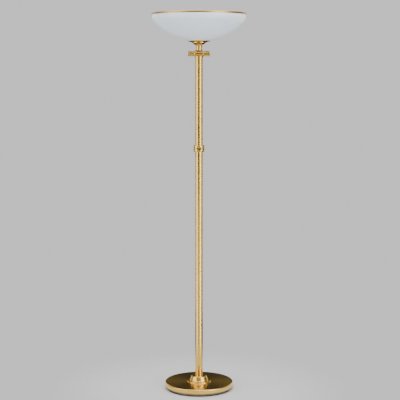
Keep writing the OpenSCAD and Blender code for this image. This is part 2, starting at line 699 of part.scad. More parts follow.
module upper_gasket() color("ivory") {
    steps = 8;
    inner_r = bowl_r - glass_t;
    r0 = glass_hole_r + 0.5;
    r1 = 28;
    turned(concat([for (i = [0:steps]) let (r = r0 + (r1 - r0) * i / steps) [r, sphere_z(inner_r, r) + fit]],
        [[r1, plate_seat_z - fit], [r0, plate_seat_z - fit]]));
}

module clamp_plate() color("silver")
    ring(clamp_plate_r, head_nipple_r + fit, plate_seat_z, plate_seat_z + clamp_plate_t);

module head_nuts() color("gold") {
    hex_nut(19, head_nipple_r + fit, plate_seat_z + clamp_plate_t + fit, head_nut_t - 2 * fit);
    hex_nut(19, head_nipple_r + fit, bracket_z0 + bracket_t + fit, bracket_nut_t - fit);
}

module bracket_spacer() color("gold") ring(9, head_nipple_r + fit, spacer_z0, bracket_z0 - fit);

// ---- Glass ----

module glass_bowl() color("white") {
    turn_centre = [glass_r - bowl_knuckle_r, turn_z];
    centre = [0, centre_z];
    hole_angle = asin(glass_hole_r / bowl_r);
    inner_hole_angle = asin(glass_hole_r / (bowl_r - glass_t));
    lip = 1.2;
    turned(concat(arc(centre, bowl_r, -90 + hole_angle, -90 + turn_angle, 30),
        arc(turn_centre, bowl_knuckle_r, -90 + turn_angle, 0, 12),
        arc([glass_r - lip, glass_top_z - lip], lip, 0, 90, 4),
        arc([glass_r - glass_t + lip, glass_top_z - lip], lip, 90, 180, 4),
        arc(turn_centre, bowl_knuckle_r - glass_t, 0, -90 + turn_angle, 12),
        arc(centre, bowl_r - glass_t, -90 + turn_angle, -90 + inner_hole_angle, 30)));
}

// A brass channel over the glass edge, with a rounded outer face.
module rim_ring() color("goldenrod") {
    z0 = overall_h - rim_h;
    z1 = overall_h;
    leg_r = glass_r - glass_t - fit;
    soft = rim_cap_t * 0.9;
    turned(concat([[rim_r - rim_skin, z0], [rim_r - 0.3, z0], [rim_r, z0 + 0.6]],
        arc([rim_r - soft, z1 - soft], soft, 0, 90, 8),
        arc([leg_r - rim_skin + soft, z1 - soft], soft, 90, 180, 8),
        [[leg_r - rim_skin, z0 + 1], [leg_r, z0 + 1], [leg_r, z1 - rim_cap_t],
        [rim_r - rim_skin, z1 - rim_cap_t]]));
}

// ---- Lamp and its carrier ----

module lamp_bracket() color("silver") difference() {
    union() {
        translate([-holder_x1 - bracket_t, -bracket_w / 2, bracket_z0])
            cube([2 * (holder_x1 + bracket_t), bracket_w, bracket_t]);
        for (s = [0, 180]) rotate(s) translate([holder_x1 + fit, -bracket_w / 2, bracket_z0])
            cube([bracket_t - fit, bracket_w, holder_top_z - 2 - bracket_z0]);
    }
    translate([0, 0, bracket_z0 - eps]) cylinder(h = bracket_t + 2 * eps, r = head_nipple_r + fit);
    for (s = [0, 180]) rotate(s) {
        for (z = [-8, 8]) along_x(lamp_z + z) translate([0, 0, holder_x1 - eps])
            cylinder(h = bracket_t + 2 * eps, r = 1.5 + fit);
        translate([post_x, 0, bracket_z0 - eps]) cylinder(h = bracket_t + 2 * eps, r = 1.5 + fit);
    }
}

// A ceramic holder at each end, with a pocket open upward and a bore for its contact.
module lampholders() color("ivory") for (s = [0, 180]) rotate(s) difference() {
    translate([holder_x0, -holder_w / 2, holder_z0])
        cube([holder_x1 - holder_x0, holder_w, holder_top_z - holder_z0]);
    along_x(lamp_z) translate([0, 0, holder_x0 - eps]) cylinder(h = 4.2 + eps, r = cap_r + 0.6);
    translate([holder_x0 - eps, -cap_r - 0.6, lamp_z]) cube([4.2 + eps, 2 * cap_r + 1.2, 20]);
    along_x(lamp_z) translate([0, 0, holder_x0])
        cylinder(h = 3 + contact_l + contact_travel + 0.6, r = contact_r + fit);
    for (z = [-8, 8]) along_x(lamp_z + z) translate([0, 0, holder_x1 - 7])
        cylinder(h = 7 + eps, r = 1.5 + fit);
    for (y = [-1, 1]) translate([holder_x0 - eps, y * holder_w / 2 - 1, holder_z0 - eps])
        cube([holder_x1 - holder_x0 + 2 * eps, 2, 4 + eps]);
}

module holder_screws() color("silver") for (s = [0, 180]) rotate(s) for (z = [-8, 8])
    translate([holder_x1 + bracket_t + fit, 0, lamp_z + z]) rotate([0, 90, 0]) pan_screw(1.5, 2.8, 2, 7.5);

// A sprung contact that presses on the end of the lamp.
module contact(turn) color("gold") rotate(turn) along_x(lamp_z)
    translate([0, 0, lamp_l / 2 + fit]) cylinder(h = contact_l, r = contact_r);
module contact_left() contact(180);
module contact_right() contact(0);

// A bent aluminium trough with a flat lip along each side.
module reflector() color("gainsboro") difference() {
    half_w = reflector_w / 2;
    depth = reflector_z1 - reflector_z0;
    steps = 20;
    under = [for (i = [0:steps]) let (u = -1 + 2 * i / steps) [half_w * u, reflector_z0 + depth * u * u]];
    over = [for (i = [steps:-1:0]) let (u = -1 + 2 * i / steps)
        [(half_w - reflector_t) * u,
            reflector_z0 + reflector_t + (depth - reflector_t) * u * u + reflector_t * abs(u)]];
    lip = half_w + reflector_lip;
    outline = concat([[-lip, reflector_z1 + reflector_t], [-lip, reflector_z1]], under,
        [[lip, reflector_z1], [lip, reflector_z1 + reflector_t]], over);
    rotate([90, 0, 90]) translate([0, 0, -reflector_half])
        linear_extrude(height = 2 * reflector_half) polygon(outline);
    for (x = [-post_x, post_x]) translate([x, 0, reflector_z0 - eps]) cylinder(h = 4, r = 1.5 + 2 * fit);
}

// Each post is a spacer on the bracket with a screw down through the trough.
module reflector_posts() color("silver") for (x = [-post_x, post_x]) translate([x, 0, 0]) {
    ring(post_r, 1.5 + fit, bracket_z0 + bracket_t + fit, reflector_z0 - 0.3);
    translate([0, 0, reflector_z0 + reflector_t + 0.3])
        pan_screw(1.5, 2.8, 2, reflector_z0 + reflector_t - bracket_z0 + 2);
}

// The toughened plate with its four spring clips under the trough's lips.
module safety_glass() color("lightcyan") {
    half_w = reflector_w / 2 + reflector_lip;
    z0 = holder_top_z + fit;
    translate([-holder_x1 - 3, -half_w, z0]) cube([2 * holder_x1 + 6, 2 * half_w, safety_t]);
    for (x = [-0.6, 0.6]) for (s = [0, 180]) rotate(s) translate([x * reflector_half - 4, half_w + fit, 0]) {
        translate([0, 0, reflector_z1 - 1 - fit]) cube([8, 0.9, z0 + safety_t - reflector_z1 + 2 + 2 * fit]);
        translate([0, -4, reflector_z1 - 1 - fit]) cube([8, 4.4, 1]);
        translate([0, -3, z0 + safety_t + fit]) cube([8, 3.4, 1]);
    }
}

module lamp_tube() color("lightcyan") along_x(lamp_z)
    ring(lamp_d / 2, lamp_d / 2 - 1, -tube_half, tube_half);

// The pinched ends, the ceramic caps and the filament between them.
module lamp_ends() color("ivory") {
    for (s = [0, 180]) rotate(s) {
        along_x(lamp_z) translate([0, 0, tube_half + fit]) cylinder(h = 2, r = lamp_d / 2 - 0.4);
        translate([tube_half + 2 + fit, -4.2, lamp_z - 1.6]) cube([pinch_l - 2, 8.4, 3.2]);
        along_x(lamp_z) translate([0, 0, lamp_l / 2 - cap_l]) cylinder(h = cap_l, r = cap_r);
    }
    along_x(lamp_z) translate([0, 0, -tube_half - 0.5]) cylinder(h = 2 * tube_half + 1, r = 0.8);
}

// The lead through the tongue and the nipple, and its two wires to the lampholders.
module head_lead() color("white") {
    top = head_nipple_z1;
    start = channel_elbow + 0.75 * (channel_mouth - channel_elbow);
    elbow_z = pivot_z + channel_elbow.y;
    bend_z = pivot_z + channel_bend;
    rise = channel_top - channel_bend;
    lead([[0, start.x, pivot_z + start.y], [0, channel_y - 0.6, elbow_z - 1.05],
        [0, channel_y, elbow_z + 1.2], [0, channel_y, bend_z - 1.5],
        [0, channel_y * 0.95, bend_z + rise * 0.05], [0, channel_y / 2, bend_z + rise / 2],
        [0, 0.4, pivot_z + channel_top - 0.6], [0, 0, neck_z0 + 1.5], [0, 0, neck_z0 + 10],
        [0, 0, (neck_z0 + top) / 2], [0, 0, top - 6]], core_r);
    wire_y = holder_w / 2 + 2.4;
    for (s = [-1, 1]) lead([[s * 1.4, 0, top - 6 + fit], [s * 1.5, 0, top - 1], [s * 2.2, 1, top + 1.6],
        [s * 5, 3, top + 3.1], [s * 12, 7, top + 2.4], [s * 24, wire_y, top + 1],
        [s * (reflector_half - 12), wire_y + 1, top + 1.6], [s * (reflector_half + 1), wire_y + 1, top + 4],
        [s * (holder_x0 + 4), wire_y, holder_z0 - 3], [s * (holder_x0 + 8), wire_y - 0.4, holder_z0 + 2],
        [s * (holder_x0 + 10), holder_w / 2 + wire_r + 0.3, holder_z0 + 7]], wire_r);
}

floor_ring();
bottom_plate();
bottom_screws();
base_weight();
base_shell();
inlet_grommet();
terminal_block();
terminal_screws();
base_washer();
base_nut();
base_nipple();
base_flange();
base_collar();
foot_plug();
lower_tube();
upper_tube();
coupling_sleeve();
dimmer_ring_lower();
dimmer_ring_upper();
dimmer_switch();
dimmer_panel_nut();
switch_plunger();
dimmer_shaft();
dimmer_knob();
knob_grub_screw();
dimmer_board();
tube_grub_screws();
stem_lead_lower();
stem_lead_upper();
joint_fork();
friction_washers();
pivot_bolt();
bar_cap();
bar_sleeve();
disc_spring();
clamp_knob();
joint_tongue();
neck_tube();
head_nipple();
bell();
glass_dish();
lower_gasket();
glass_bush();
upper_gasket();
clamp_plate();
head_nuts();
bracket_spacer();
glass_bowl();
rim_ring();
lamp_bracket();
lampholders();
holder_screws();
contact_left();
contact_right();
reflector();
reflector_posts();
safety_glass();
lamp_tube();
lamp_ends();
head_lead();
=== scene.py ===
"""Looks for a torchiere floor lamp in satin brass with an opal glass bowl.

Every length in this file is in millimetres until a mesh is made, when MM turns it into metres.
"""
import json
import math

import bmesh
import bpy
from mathutils import Matrix, Vector


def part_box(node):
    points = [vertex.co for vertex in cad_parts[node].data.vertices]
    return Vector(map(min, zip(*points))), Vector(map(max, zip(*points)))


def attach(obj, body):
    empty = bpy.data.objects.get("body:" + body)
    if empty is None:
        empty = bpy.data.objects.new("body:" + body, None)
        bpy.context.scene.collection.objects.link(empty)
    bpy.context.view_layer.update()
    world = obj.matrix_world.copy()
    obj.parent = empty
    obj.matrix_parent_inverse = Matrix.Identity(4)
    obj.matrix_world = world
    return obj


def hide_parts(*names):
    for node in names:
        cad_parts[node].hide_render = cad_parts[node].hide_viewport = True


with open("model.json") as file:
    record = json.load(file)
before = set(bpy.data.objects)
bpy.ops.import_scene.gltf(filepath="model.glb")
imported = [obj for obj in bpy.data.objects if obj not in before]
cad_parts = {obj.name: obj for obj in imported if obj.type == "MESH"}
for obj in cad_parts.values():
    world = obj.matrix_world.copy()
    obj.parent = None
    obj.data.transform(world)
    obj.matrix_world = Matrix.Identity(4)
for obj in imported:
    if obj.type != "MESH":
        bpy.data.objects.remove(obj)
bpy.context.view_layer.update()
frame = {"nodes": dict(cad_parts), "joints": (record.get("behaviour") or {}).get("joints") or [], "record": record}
nodes = frame["nodes"]
MM = 0.001


# ---- The frame's own sizes ----

def span(node):
    """A node's lowest and highest corners in millimetres."""
    low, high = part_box(node)
    return low / MM, high / MM


def radius(node):
    """The outside radius of a node turned about the lamp's axis."""
    return span(node)[1].x


joints = {joint["name"]: joint for joint in frame["joints"]}
pivot_z = joints["head_tilt"]["pos_m"][2] / MM
dimmer_z = joints["dimmer_turn"]["pos_m"][2] / MM
base_r = radius("base_shell")
base_h = span("base_shell")[1].z
stem_r = radius("lower_tube")


# ---- Camera, lights and floor ----

TILT_DOWN = 6.41

camera_data = bpy.data.cameras.new("camera")
camera_data.lens = 96.6
camera_data.sensor_width = 36
camera = bpy.data.objects.new("camera", camera_data)
camera.location = (0.0047, -5.055, 1.4788)
camera.rotation_euler = (math.radians(90 - TILT_DOWN), 0, 0)
bpy.context.scene.collection.objects.link(camera)
bpy.context.scene.camera = camera


def softbox(name, place, aim, size, power):
    """A rectangular studio light of size (width, height) in metres, turned to face a point."""
    data = bpy.data.lights.new(name, "AREA")
    data.shape = "RECTANGLE"
    data.size, data.size_y = size
    data.energy = power
    light = bpy.data.objects.new(name, data)
    light.location = place
    light.rotation_euler = (Vector(aim) - Vector(place)).to_track_quat("-Z", "Y").to_euler()
    light.visible_camera = False
    bpy.context.scene.collection.objects.link(light)


# The tall panels at the left and right draw the bright bands on the stem; between them it stays dark.
softbox("left_panel", (-2.6, -1.35, 1.0), (0, 0, 1.0), (2.7, 4.4), 96)
softbox("right_panel", (2.2, -1.95, 1.0), (0, 0, 1.0), (1.9, 4.4), 110)
softbox("front_panel", (0, -1.7, 3.4), (0, 0, 1.6), (2.2, 1.5), 26)
softbox("low_panel", (0, -1.9, 0.1), (0, 0, 1.6), (1.6, 1.2), 4.5)
softbox("far_panel", (0, -6.4, 2.3), (0, 0, 1.6), (1.1, 1.6), 3)
softbox("top_panel", (0, 0.2, 3.4), (0, 0, 1.0), (2.6, 2.6), 120)
softbox("back_right_panel", (2.1, 2.3, 1.3), (0, 0, 1.1), (1.3, 3.6), 20)
softbox("back_left_panel", (-2.2, 2.4, 1.3), (0, 0, 1.1), (1.5, 3.6), 22)


# ---- Shader maths ----

class Wire:
    """A node's output that can be used in sums; each operator adds the Math node that it stands for."""

    def __init__(self, paint, socket):
        self.paint, self.socket = paint, socket

    def sum(self, operation, *values):
        return self.paint.node("ShaderNodeMath", {"operation": operation}, dict(enumerate(values)))

    def __add__(self, other): return self.sum("ADD", self, other)
    def __radd__(self, other): return self.sum("ADD", other, self)
    def __sub__(self, other): return self.sum("SUBTRACT", self, other)
    def __rsub__(self, other): return self.sum("SUBTRACT", other, self)
    def __mul__(self, other): return self.sum("MULTIPLY", self, other)
    def __rmul__(self, other): return self.sum("MULTIPLY", other, self)
    def __truediv__(self, other): return self.sum("DIVIDE", self, other)
    def __rtruediv__(self, other): return self.sum("DIVIDE", other, self)

    def root(self): return self.sum("SQRT", self)
    def sine(self): return self.sum("SINE", self)

    def ramp(self, low, high):
        """0 below low, 1 above high and a smooth rise between them; low may be the larger."""
        ends = {"Value": self, "From Min": low, "From Max": high}
        return self.paint.node("ShaderNodeMapRange", {"interpolation_type": "SMOOTHSTEP"}, ends)


class Tree:
    """A node tree that starts empty."""

    def __init__(self, owner):
        owner.use_nodes = True
        self.tree = owner.node_tree
        self.tree.nodes.clear()

    def node(self, kind, settings=None, inputs=None, out=0):
        """A node of a kind: its settings first, then the values or wires of its inputs."""
        made = self.tree.nodes.new(kind)
        for key, value in (settings or {}).items():
            setattr(made, key, value)
        for key, value in (inputs or {}).items():
            self.join(made.inputs[key], value)
        return None if out is None else Wire(self, made.outputs[out])

    def join(self, socket, value):
        if isinstance(value, Wire):
            self.tree.links.new(value.socket, socket)
        else:
            socket.default_value = value


class Paint(Tree):
    """A material: a Principled shader with the nodes that feed it."""

    def __init__(self, name, **even):
        self.material = bpy.data.materials.new(name)
        super().__init__(self.material)
        surface = self.node("ShaderNodeBsdfPrincipled")
        self.shader = surface.socket.node
        self.node("ShaderNodeOutputMaterial", inputs={"Surface": surface}, out=None)
        for word, value in even.items():
            self.feed(word.replace("_", " ").title().replace("Ior", "IOR"), value)
        self.place = self.node("ShaderNodeTexCoord", out="Object")

    def feed(self, name, value):
        """Gives one of the shader's own inputs a value or a wire."""
        if isinstance(value, tuple) and len(value) == 3 and "Color" in name:
            value = (*value, 1)
        self.join(self.shader.inputs[name], value)

    def axes(self):
        """The x, y and z of the place on the object."""
        split = self.node("ShaderNodeSeparateXYZ", inputs={0: self.place})
        return [Wire(self, socket) for socket in split.socket.node.outputs]

    def vector(self, x, y, z):
        return self.node("ShaderNodeCombineXYZ", inputs={0: x, 1: y, 2: z})

    def noise(self, scale, detail=3, vector=None, roughness=0.5, w=None):
        """Cloudy noise from 0 to 1, with about scale lumps to the metre."""
        inputs = {"Vector": vector or self.place, "Scale": scale, "Detail": detail, "Roughness": roughness}
        if w is not None:
            inputs["W"] = w
        settings = {"noise_dimensions": "3D" if w is None else "4D"}
        return self.node("ShaderNodeTexNoise", settings, inputs, out="Fac")

    def cells(self, scale):
        """Distance within a field of cells, with about scale cells to the metre."""
        inputs = {"Vector": self.place, "Scale": scale}
        return self.node("ShaderNodeTexVoronoi", inputs=inputs, out="Distance")

    def mix(self, amount, first, second):
        """A colour between two, each given as three numbers or as a wire."""
        ends = [(*c, 1) if isinstance(c, tuple) else c for c in (first, second)]
        inputs = {"Factor": amount, 6: ends[0], 7: ends[1]}
        return self.node("ShaderNodeMix", {"data_type": "RGBA"}, inputs, out=2)

    def relief(self, height, depth, strength=1.0):
        """Bumps the surface by a height from 0 to 1 that stands for depth millimetres."""
        inputs = {"Height": height, "Distance": depth * MM, "Strength": strength}
        self.feed("Normal", self.node("ShaderNodeBump", inputs=inputs))


def turned_lines(paint, axis="Z", up=0.0, fine=4200):
    """Fine lathe lines that run round an axis; a level axis is up millimetres above the floor."""
    x, y, z = paint.axes()
    along, a, b = {"Z": (z, x, y), "X": (x, y, z - up * MM), "Y": (y, x, z - up * MM)}[axis]
    from_axis = (a * a + b * b + 1e-8).root()
    around = paint.vector(a / from_axis * 3.0, b / from_axis * 3.0, from_axis * fine)
    return paint.noise(1.0, detail=4, vector=around, roughness=0.62, w=along * fine)


# ---- Finishes ----

BRASS = (0.87, 0.55, 0.125)
BRASS_PALE = (0.90, 0.605, 0.165)
BRASS_DEEP = (0.55, 0.31, 0.085)
BRASS_SHADE = (0.10, 0.062, 0.024)


def satin_brass(name, axis="Z", up=0.0, rough=0.2, shade_amount=0.0, foot=None):
    """Lacquered brass with fine lathe lines round an axis and faint clouding.

    The shade amount darkens the whole piece from 0 to 1 as painted shade; below the height foot the brass turns
    dark as painted shade for the shadowed tucked-in edge.
    """
    paint = Paint(name, metallic=1.0, anisotropic=0.5, coat_roughness=0.12, coat_weight=0.08)
    lines = turned_lines(paint, axis, up)
    clouds = paint.noise(9, detail=5)
    specks = paint.noise(620, detail=2).ramp(0.66, 0.78)
    tone = paint.mix(clouds.ramp(0.3, 0.7), BRASS, BRASS_PALE)
    # The shade amount is painted shade over the whole piece; the lathe lines darken their grooves.
    tone = paint.mix(shade_amount + lines.ramp(0.42, 0.2) * 0.25, tone, BRASS_DEEP)
    # Painted shade: below the foot height the brass fades to dark, standing in for the floor's contact shadow seen
    # in the tucked-in edge.
    if foot:
        tone = paint.mix(paint.axes()[2].ramp(foot * MM, 0.45 * foot * MM), tone, BRASS_SHADE)
    paint.feed("Base Color", paint.mix(specks * 0.12, tone, BRASS_DEEP))
    paint.feed("Roughness", rough + lines * 0.06 + clouds * 0.04 + specks * 0.04)
    paint.relief(lines, 0.0012, 0.3)
    return paint.material


def raw_brass():
    """Unlacquered turned brass for nuts, nipples and contacts."""
    paint = Paint("raw_brass", metallic=1.0)
    lines = turned_lines(paint, fine=2600)
    stain = paint.noise(70, detail=4)
    paint.feed("Base Color", paint.mix(stain.ramp(0.35, 0.7), (0.70, 0.47, 0.18), (0.46, 0.29, 0.11)))
    paint.feed("Roughness", 0.28 + stain * 0.22)
    paint.relief(lines, 0.03, 0.5)
    return paint.material


def zinc_steel():
    """Zinc-plated steel: pale, with a broken spangle."""
    paint = Paint("zinc_steel", metallic=1.0)
    spangle = paint.cells(240)
    haze = paint.noise(38, detail=5)
    paint.feed("Base Color", paint.mix(spangle.ramp(0.1, 0.7), (0.66, 0.67, 0.68), (0.50, 0.52, 0.55)))
    paint.feed("Roughness", 0.3 + haze * 0.2)
    paint.relief(haze + spangle * 0.3, 0.03, 0.4)
    return paint.material


def dark_steel():
    """Blackened steel for small screws and washers."""
    paint = Paint("dark_steel", metallic=1.0)
    wear = paint.noise(900, detail=3)
    paint.feed("Base Color", paint.mix(wear.ramp(0.5, 0.8), (0.045, 0.045, 0.05), (0.16, 0.155, 0.15)))
    paint.feed("Roughness", 0.34 + wear * 0.2)
    paint.relief(wear, 0.02, 0.5)
    return paint.material


def cast_iron():
    """Sand-cast iron under thin dark paint."""
    paint = Paint("cast_iron", metallic=0.3)
    grain = paint.noise(420, detail=6, roughness=0.65)
    rust = paint.noise(26, detail=5).ramp(0.58, 0.74)
    paint.feed("Base Color", paint.mix(rust * 0.5, (0.05, 0.05, 0.054), (0.13, 0.07, 0.04)))
    paint.feed("Roughness", 0.55 + grain * 0.3)
    paint.relief(grain, 0.35, 0.8)
    return paint.material


def black_rubber():
    """Moulded black rubber with a dusty bloom."""
    paint = Paint("black_rubber", specular_ior_level=0.35)
    bloom = paint.noise(60, detail=5)
    grain = paint.noise(1500, detail=2)
    paint.feed("Base Color", paint.mix(bloom.ramp(0.4, 0.75), (0.012, 0.012, 0.012), (0.035, 0.033, 0.031)))
    paint.feed("Roughness", 0.6 + bloom * 0.25)
    paint.relief(grain, 0.05, 0.5)
    return paint.material


def white_ceramic():
    """Glazed steatite with faint freckles."""
    paint = Paint("white_ceramic", coat_weight=0.5, coat_roughness=0.08)
    freckles = paint.cells(900).ramp(0.12, 0.04)
    tone = paint.noise(45, detail=4)
    base = paint.mix(tone, (0.80, 0.77, 0.69), (0.86, 0.84, 0.78))
    paint.feed("Base Color", paint.mix(freckles * 0.25, base, (0.5, 0.44, 0.34)))
    paint.feed("Roughness", 0.28 + tone * 0.16)
    paint.relief(tone, 0.12, 0.4)
    return paint.material


def pale_silicone():
    """Soft off-white silicone."""
    paint = Paint("pale_silicone", subsurface_weight=0.2, subsurface_scale=0.002)
    tone = paint.noise(120, detail=4)
    paint.feed("Base Color", paint.mix(tone, (0.72, 0.70, 0.63), (0.80, 0.79, 0.74)))
    paint.feed("Roughness", 0.45 + tone * 0.2)
    paint.relief(tone, 0.06, 0.4)
    return paint.material


def grey_moulding():
    """Dark grey plastic with a spark-eroded texture."""
    paint = Paint("grey_moulding")
    grain = paint.noise(2200, detail=2)
    tone = paint.noise(80)
    paint.feed("Base Color", paint.mix(tone, (0.03, 0.03, 0.033), (0.05, 0.05, 0.054)))
    paint.feed("Roughness", 0.42 + grain * 0.2)
    paint.relief(grain, 0.05, 0.6)
    return paint.material


def green_board():
    """Lacquered circuit board with copper tracks under the green."""
    paint = Paint("green_board", coat_weight=0.4, coat_roughness=0.15)
    x, _, z = paint.axes()
    tracks = (z * 1250).sine().ramp(0.72, 0.9) * (x * 700).sine().ramp(-0.4, 0.1)
    cloth = paint.noise(1600, detail=2)
    base = paint.mix(tracks, (0.008, 0.075, 0.03), (0.03, 0.16, 0.06))
    paint.feed("Base Color", paint.mix(cloth * 0.3, base, (0.01, 0.05, 0.02)))
    paint.feed("Roughness", 0.34 + cloth * 0.12)
    paint.relief(tracks, 0.04, 0.8)
    return paint.material


def lead_sleeve():
    """Woven heat-proof sleeve over a lead."""
    paint = Paint("lead_sleeve", sheen_weight=0.3)
    x, y, z = paint.axes()
    weave = ((z + x * 0.9) * 5200).sine() * ((z - y * 0.9) * 5200).sine()
    paint.feed("Base Color", paint.mix(weave.ramp(-0.6, 0.6), (0.60, 0.58, 0.52), (0.78, 0.76, 0.71)))
    paint.feed("Roughness", 0.6 + weave * 0.1)
    paint.relief(weave, 0.12, 0.7)
    return paint.material


def opal_glass():
    """Acid-satined opal glass: white right through, with a soft sheen and the faintest waviness. Its faint
    emission is painted light, a glow standing in for studio light passing through the glass.
    """
    paint = Paint("opal_glass", ior=1.5, subsurface_weight=0.6, subsurface_radius=(1, 1, 1),
                  subsurface_scale=0.006, coat_roughness=0.3, coat_weight=0.12,
                  emission_color=(0.93, 0.97, 1.0), emission_strength=0.29)
    cloud = paint.noise(7, detail=3)
    frost = paint.noise(2600, detail=2)
    seeds = paint.cells(160).ramp(0.05, 0.02)
    base = paint.mix(cloud.ramp(0.3, 0.7), (0.76, 0.83, 0.90), (0.79, 0.855, 0.915))
    paint.feed("Base Color", paint.mix(seeds * 0.12, base, (0.66, 0.69, 0.73)))
    paint.feed("Roughness", 0.34 + frost * 0.1 + cloud * 0.04)
    paint.relief(frost * 0.2 + cloud, 0.08, 0.25)
    return paint.material


def clear_glass():
    """Polished clear glass with a trace of dust."""
    paint = Paint("clear_glass", transmission_weight=0.96, ior=1.47)
    dust = paint.noise(260, detail=5)
    film = paint.noise(24, detail=3)
    paint.feed("Base Color", paint.mix(dust.ramp(0.6, 0.85) * 0.2, (0.93, 0.98, 0.96), (0.8, 0.8, 0.78)))
    paint.feed("Roughness", 0.01 + film * 0.02 + dust.ramp(0.6, 0.9) * 0.12)
    paint.relief(film, 0.02, 0.1)
    return paint.material


def bright_aluminium():
    """Bright aluminium sheet with a fine hammered grain."""
    paint = Paint("bright_aluminium", metallic=1.0)
    dimples = paint.cells(330)
    haze = paint.noise(50, detail=4)
    paint.feed("Base Color", paint.mix(haze, (0.78, 0.79, 0.80), (0.86, 0.87, 0.88)))
    paint.feed("Roughness", 0.2 + haze * 0.12)
    paint.relief(dimples, 0.35, 0.6)
    return paint.material


def tungsten():
    """Grey drawn tungsten wire."""
    paint = Paint("tungsten", metallic=1.0)
    drawn = paint.noise(3000, detail=3)
    paint.feed("Base Color", paint.mix(drawn, (0.30, 0.29, 0.28), (0.45, 0.44, 0.43)))
    paint.feed("Roughness", 0.3 + drawn * 0.2)
    return paint.material


brass = satin_brass("satin_brass")
# The base's brass is darkened below 18 mm as painted shade for its tucked-in lower edge.
brass_base = satin_brass("satin_brass_base", foot=18)
# The rim ring's brass is a darker copy of the satin brass: painted shade for the ring.
brass_rim = satin_brass("satin_brass_rim", rough=0.3, shade_amount=0.7)
brass_bar = satin_brass("satin_brass_bar", "X", up=pivot_z)
brass_knob = satin_brass("satin_brass_knob", "Y", up=dimmer_z)
finishes = {
    "satin_brass": brass, "raw_brass": raw_brass(), "zinc_steel": zinc_steel(),
    "dark_steel": dark_steel(), "cast_iron": cast_iron(), "black_rubber": black_rubber(),
    "white_ceramic": white_ceramic(), "pale_silicone": pale_silicone(), "grey_moulding": grey_moulding(),
    "green_board": green_board(), "lead_sleeve": lead_sleeve(), "opal_glass": opal_glass(),
    "clear_glass": clear_glass(), "bright_aluminium": bright_aluminium(),
}
filament_grey = tungsten()


# ---- Mesh making ----

def arc(centre, r, start, end, steps=10):
    """Points of an arc about a centre, from one angle in degrees to another."""
    angles = [math.radians(start + (end - start) * i / steps) for i in range(steps + 1)]
    return [(centre[0] + r * math.cos(a), centre[1] + r * math.sin(a)) for a in angles]


ALONG_X = Matrix.Rotation(math.radians(90), 4, "Y")
ALONG_MINUS_X = Matrix.Rotation(math.radians(-90), 4, "Y")
TO_FRONT = Matrix.Rotation(math.radians(90), 4, "X")


def lay(turn, up):
    """Where a piece goes that is made along Z: turned, then raised to a height."""
    return Matrix.Translation((0, 0, up)) @ turn


def turned(name, outline, steps=256, place=Matrix.Identity(4), flute=None):
    """A piece turned about Z from its closed half outline; flute(angle, r, z) gives a cut in the radius."""
    mesh = bmesh.new()
    rows = []
    for i in range(steps):
        angle = 2 * math.pi * i / steps
        row = []
        for r, z in outline:
            cut = flute(angle, r, z) if flute else 0.0
            row.append(mesh.verts.new(((r - cut) * math.cos(angle), (r - cut) * math.sin(angle), z)))
        rows.append(row)
    count = len(outline)
    for i in range(steps):
        here, there = rows[i], rows[(i + 1) % steps]
        for k in range(count):
            n = (k + 1) % count
            if outline[k][0] > 1e-6 or outline[n][0] > 1e-6:
                mesh.faces.new((here[k], there[k], there[n], here[n]))
    bmesh.ops.remove_doubles(mesh, verts=mesh.verts, dist=1e-5)
    return finished(name, mesh, place)


def finished(name, mesh, place=Matrix.Identity(4), sharp=32):
    """An object from a bmesh in millimetres, smooth apart from its sharp edges."""
    bmesh.ops.transform(mesh, matrix=Matrix.Scale(MM, 4) @ place, verts=mesh.verts)
    bmesh.ops.recalc_face_normals(mesh, faces=mesh.faces)
    data = bpy.data.meshes.new(name)
    mesh.to_mesh(data)
    mesh.free()
    data.shade_smooth()
    data.set_sharp_from_angle(angle=math.radians(sharp))
    piece = bpy.data.objects.new(name, data)
    bpy.context.scene.collection.objects.link(piece)
    return piece


def cut(piece, *cutters):
    """Takes each cutter's shape out of a piece and removes the cutters."""
    for cutter in cutters:
        tool = piece.modifiers.new("cut", "BOOLEAN")
        tool.object = cutter
        tool.solver = "EXACT"
    bpy.context.view_layer.update()
    whole = piece.evaluated_get(bpy.context.evaluated_depsgraph_get())
    data = bpy.data.meshes.new_from_object(whole)
    piece.modifiers.clear()
    piece.data = data
    data.shade_smooth()
    data.set_sharp_from_angle(angle=math.radians(32))
    for cutter in cutters:
        bpy.data.objects.remove(cutter)


def rod(name, r, low, high, place=Matrix.Identity(4), steps=64):
    """A plain round cutter."""
    return turned(name, [(0, low), (r, low), (r, high), (0, high)], steps, place)


def block(name, low, high, edge):
    """A box between two corners with rounded edges."""
    mesh = bmesh.new()
    bmesh.ops.create_cube(mesh, size=1)
    size = [b - a for a, b in zip(low, high)]
    middle = [(a + b) / 2 for a, b in zip(low, high)]
    bmesh.ops.scale(mesh, vec=size, verts=mesh.verts)
    bmesh.ops.translate(mesh, vec=middle, verts=mesh.verts)
    bmesh.ops.bevel(mesh, geom=mesh.edges, offset=edge, segments=3, profile=0.5, affect="EDGES")
    return finished(name, mesh)


def strip(name, path, thick, low_x, high_x):
    """Bent sheet: a path of (y, z) points thickened to its left and drawn out along X."""
    sides = []
    for i, point in enumerate(path):
        before, after = Vector(path[max(i - 1, 0)]), Vector(path[min(i + 1, len(path) - 1)])
        way = (after - before).normalized()
        sides.append(Vector(point) + thick * Vector((-way.y, way.x)))
    outline = [Vector(point) for point in path] + sides[::-1]
    mesh = bmesh.new()
    near = [mesh.verts.new((low_x, *point)) for point in outline]
    far = [mesh.verts.new((high_x, *point)) for point in outline]
    count = len(outline)
    for i in range(count):
        mesh.faces.new((near[i], near[(i + 1) % count], far[(i + 1) % count], far[i]))
    for row in (near, far):
        for i in range(len(path) - 1):
            mesh.faces.new((row[i], row[i + 1], row[count - 2 - i], row[count - 1 - i]))
    return finished(name, mesh)


